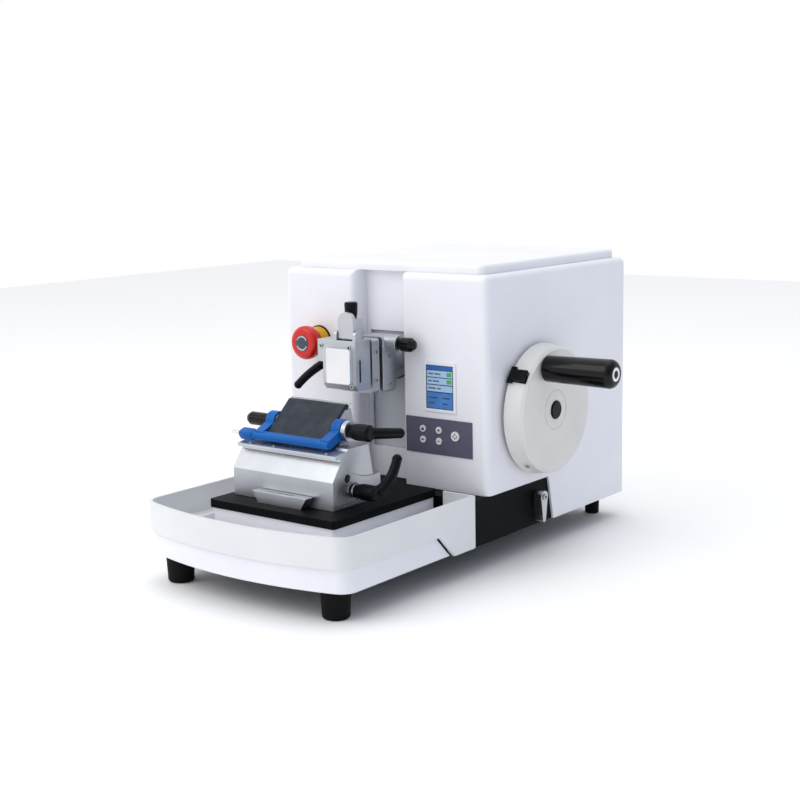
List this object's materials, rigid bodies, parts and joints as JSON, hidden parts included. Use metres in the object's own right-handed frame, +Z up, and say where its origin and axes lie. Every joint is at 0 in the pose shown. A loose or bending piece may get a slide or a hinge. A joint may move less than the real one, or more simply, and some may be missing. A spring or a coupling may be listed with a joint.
{
  "type": "rotary microtome",
  "caption": "Manual rotary microtome with side handwheel, vertically moving specimen clamp, tilting blade holder on a dovetail, lift-off waste tray and a front display.",
  "frame": {"origin": "centre of the overall footprint, on the surface the feet stand on", "axes": "+X towards the handwheel, -Y towards the user's side with the waste tray, +Z up"},
  "size_m": [0.3597, 0.5012, 0.297],
  "materials": {
    "white_paint": "fine satin powder coat",
    "lid_paint": "fine satin powder coat",
    "black_casting": "black textured paint",
    "black_steel": "black oxide",
    "bright_steel": "ground",
    "dark_steel": "bead blasted",
    "grey_aluminium": "satin anodised",
    "cast_frame": "painted casting",
    "black_plastic": "fine texture",
    "white_plastic": "satin",
    "tray_plastic": "semi gloss",
    "foot_rubber": "matte",
    "screen_glass": "display window",
    "keypad_film": "matt film",
    "red_plastic": "glossy",
    "yellow_plastic": "glossy",
    "blue_guard": "blue anodised look",
    "board_green": "printed board"
  },
  "bodies": {
    "frame": {"base_casting": "black_casting", "feet": "foot_rubber", "front_apron": "white_paint", "knife_table": "black_casting", "table_pedestal": "white_paint", "table_rail": "bright_steel", "housing_shell": "white_paint", "housing_lid": "lid_paint", "power_inlet": "black_plastic", "display_bezel": "white_plastic", "display_glass": "screen_glass", "keypad_panel": "keypad_film", "front_board": "board_green", "estop_collar": "yellow_plastic", "main_board": "board_green", "power_supply": "grey_aluminium", "left_upright": "cast_frame", "right_upright": "cast_frame", "upright_screws": "black_steel", "shaft_bearings": "bright_steel", "guide_rails": "bright_steel"},
    "wheel": {"handwheel": "white_plastic", "hub_cap": "black_plastic", "crankshaft": "dark_steel", "grip_bolt": "bright_steel"},
    "grip": {"handle_grip": "black_plastic"},
    "wheel_lock": {"rim_lock": "black_plastic"},
    "brake": {"brake_lever": "bright_steel"},
    "slide": {"slide_carriage": "cast_frame", "bearing_blocks": "bright_steel", "slot_shield": "black_steel", "feed_motor": "black_steel"},
    "shoe": {"yoke_shoe": "bright_steel"},
    "spindle": {"feed_spindle": "bright_steel"},
    "quill": {"feed_quill": "bright_steel", "head_base": "grey_aluminium"},
    "swivel": {"swivel_block": "grey_aluminium"},
    "clamp": {"specimen_clamp": "grey_aluminium", "cassette_plate": "bright_steel"},
    "cassette_clamp": {"cassette_lever": "grey_aluminium"},
    "tilt_adjuster": {"tilt_knob": "black_plastic"},
    "swivel_adjuster": {"swivel_knob": "black_plastic"},
    "orientation_lock": {"orientation_lever": "black_plastic"},
    "knife_slide": {"knife_base": "grey_aluminium"},
    "base_clamp": {"base_lever": "black_plastic"},
    "angle_carrier": {"angle_segment": "grey_aluminium"},
    "holder": {"holder_body": "grey_aluminium", "blade": "bright_steel"},
    "clamp_plate": {"pressure_plate": "black_steel"},
    "blade_clamp": {"blade_lever": "black_plastic"},
    "shift_lock": {"shift_knob": "black_plastic"},
    "guard": {"blade_guard": "blue_guard"},
    "tray": {"waste_tray": "tray_plastic"},
    "stop_button": {"estop_button": "red_plastic"},
    "rocker": {"power_switch": "black_plastic"},
    "lock_button": {"key_lock": "white_plastic"},
    "back_button": {"key_back": "white_plastic"},
    "plus_button": {"key_plus": "white_plastic"},
    "minus_button": {"key_minus": "white_plastic"},
    "menu_button": {"key_menu": "white_plastic"}
  },
  "joints": [
    {"name": "handwheel_spin", "type": "hinge", "parent": "frame", "child": "wheel", "pos_m": [0, 0.0685, 0.149], "axis": [1, 0, 0], "continuous": true},
    {"name": "grip_spin", "type": "hinge", "parent": "wheel", "child": "grip", "pos_m": [0.12, 0.04771, 0.19359], "axis": [1, 0, 0], "continuous": true},
    {"name": "rim_lock_slide", "type": "slide", "parent": "wheel", "child": "wheel_lock", "axis": [1, 0, 0], "range_m": [0, 0.004]},
    {"name": "brake_lever_swing", "type": "hinge", "parent": "frame", "child": "brake", "pos_m": [0.077, 0.068, 0.058], "axis": [1, 0, 0], "range_deg": [0, 75]},
    {"name": "stroke_slide", "type": "slide", "parent": "frame", "child": "slide", "axis": [0, 0, 1], "range_m": [-0.06, 0]},
    {"name": "shoe_slide", "type": "slide", "parent": "slide", "child": "shoe", "axis": [0, 1, 0], "range_m": [-0.03, 0.03]},
    {"name": "spindle_spin", "type": "hinge", "parent": "slide", "child": "spindle", "pos_m": [-0.055, 0.0415, 0.198], "axis": [0, -1, 0], "continuous": true},
    {"name": "feed_slide", "type": "slide", "parent": "slide", "child": "quill", "axis": [0, -1, 0], "range_m": [0, 0.028]},
    {"name": "head_swivel", "type": "hinge", "parent": "quill", "child": "swivel", "pos_m": [-0.055, -0.046, 0.198], "axis": [0, 0, 1], "range_deg": [-8, 8]},
    {"name": "head_tilt", "type": "hinge", "parent": "swivel", "child": "clamp", "pos_m": [-0.055, -0.0625, 0.198], "axis": [1, 0, 0], "range_deg": [-8, 8]},
    {"name": "cassette_lever_swing", "type": "hinge", "parent": "clamp", "child": "cassette_clamp", "pos_m": [-0.0455, -0.079, 0.231], "axis": [1, 0, 0], "range_deg": [0, 30]},
    {"name": "tilt_knob_turn", "type": "hinge", "parent": "clamp", "child": "tilt_adjuster", "pos_m": [-0.05, -0.067, 0.25], "axis": [0, 0, 1], "continuous": true},
    {"name": "swivel_knob_turn", "type": "hinge", "parent": "quill", "child": "swivel_adjuster", "pos_m": [-0.01, -0.0305, 0.2185], "axis": [1, 0, 0], "continuous": true},
    {"name": "orientation_lever_swing", "type": "hinge", "parent": "quill", "child": "orientation_lock", "pos_m": [-0.083, -0.0325, 0.205], "axis": [-1, 0, 0], "range_deg": [0, 95]},
    {"name": "knife_base_slide", "type": "slide", "parent": "frame", "child": "knife_slide", "axis": [0, 1, 0], "range_m": [-0.02, 0.005]},
    {"name": "base_lever_swing", "type": "hinge", "parent": "knife_slide", "child": "base_clamp", "pos_m": [0.008, -0.1355, 0.095], "axis": [1, 0, 0], "range_deg": [0, 70]},
    {"name": "knife_tilt", "type": "hinge", "parent": "knife_slide", "child": "angle_carrier", "pos_m": [-0.055, -0.1085, 0.171], "axis": [1, 0, 0], "range_deg": [-4, 4]},
    {"name": "holder_shift", "type": "slide", "parent": "angle_carrier", "child": "holder", "axis": [1, 0, 0], "range_m": [-0.01, 0.01]},
    {"name": "blade_lever_swing", "type": "hinge", "parent": "holder", "child": "blade_clamp", "pos_m": [-0.005, -0.12764, 0.14892], "axis": [1, 0, 0], "range_deg": [0, 95]},
    {"name": "pressure_plate_open", "type": "hinge", "parent": "holder", "child": "clamp_plate", "pos_m": [-0.055, -0.14561, 0.14048], "axis": [1, 0, 0], "range_deg": [0, 5]},
    {"name": "shift_knob_turn", "type": "hinge", "parent": "holder", "child": "shift_lock", "pos_m": [-0.115, -0.12764, 0.14892], "axis": [1, 0, 0], "range_deg": [-90, 90]},
    {"name": "guard_flip", "type": "hinge", "parent": "holder", "child": "guard", "pos_m": [-0.055, -0.12764, 0.14892], "axis": [1, 0, 0], "range_deg": [-125, 0]},
    {"name": "tray_lift", "type": "slide", "parent": "frame", "child": "tray", "axis": [0, -0.7071, 0.7071], "range_m": [0, 0.04]},
    {"name": "estop_push", "type": "slide", "parent": "frame", "child": "stop_button", "axis": [0, 1, 0], "range_m": [0, 0.004], "stiffness_N_per_m": 600},
    {"name": "power_switch_rock", "type": "hinge", "parent": "frame", "child": "rocker", "pos_m": [-0.0865, 0.2475, 0.096], "axis": [1, 0, 0], "range_deg": [-12, 0]},
    {"name": "lock_key_press", "type": "slide", "parent": "frame", "child": "lock_button", "axis": [0, 1, 0], "range_m": [0, 0.0004], "stiffness_N_per_m": 300},
    {"name": "back_key_press", "type": "slide", "parent": "frame", "child": "back_button", "axis": [0, 1, 0], "range_m": [0, 0.0004], "stiffness_N_per_m": 300},
    {"name": "plus_key_press", "type": "slide", "parent": "frame", "child": "plus_button", "axis": [0, 1, 0], "range_m": [0, 0.0004], "stiffness_N_per_m": 300},
    {"name": "minus_key_press", "type": "slide", "parent": "frame", "child": "minus_button", "axis": [0, 1, 0], "range_m": [0, 0.0004], "stiffness_N_per_m": 300},
    {"name": "menu_key_press", "type": "slide", "parent": "frame", "child": "menu_button", "axis": [0, 1, 0], "range_m": [0, 0.0004], "stiffness_N_per_m": 300}
  ],
  "couplings": [
    {"joint": "spindle_spin", "follows": "feed_slide", "rad_per_m": 1570.8},
    {"joint": "tilt_knob_turn", "follows": "head_tilt", "ratio": 44},
    {"joint": "swivel_knob_turn", "follows": "head_swivel", "ratio": 44},
    {"joint": "pressure_plate_open", "follows": "blade_lever_swing", "ratio": 0.051579}
  ]
}
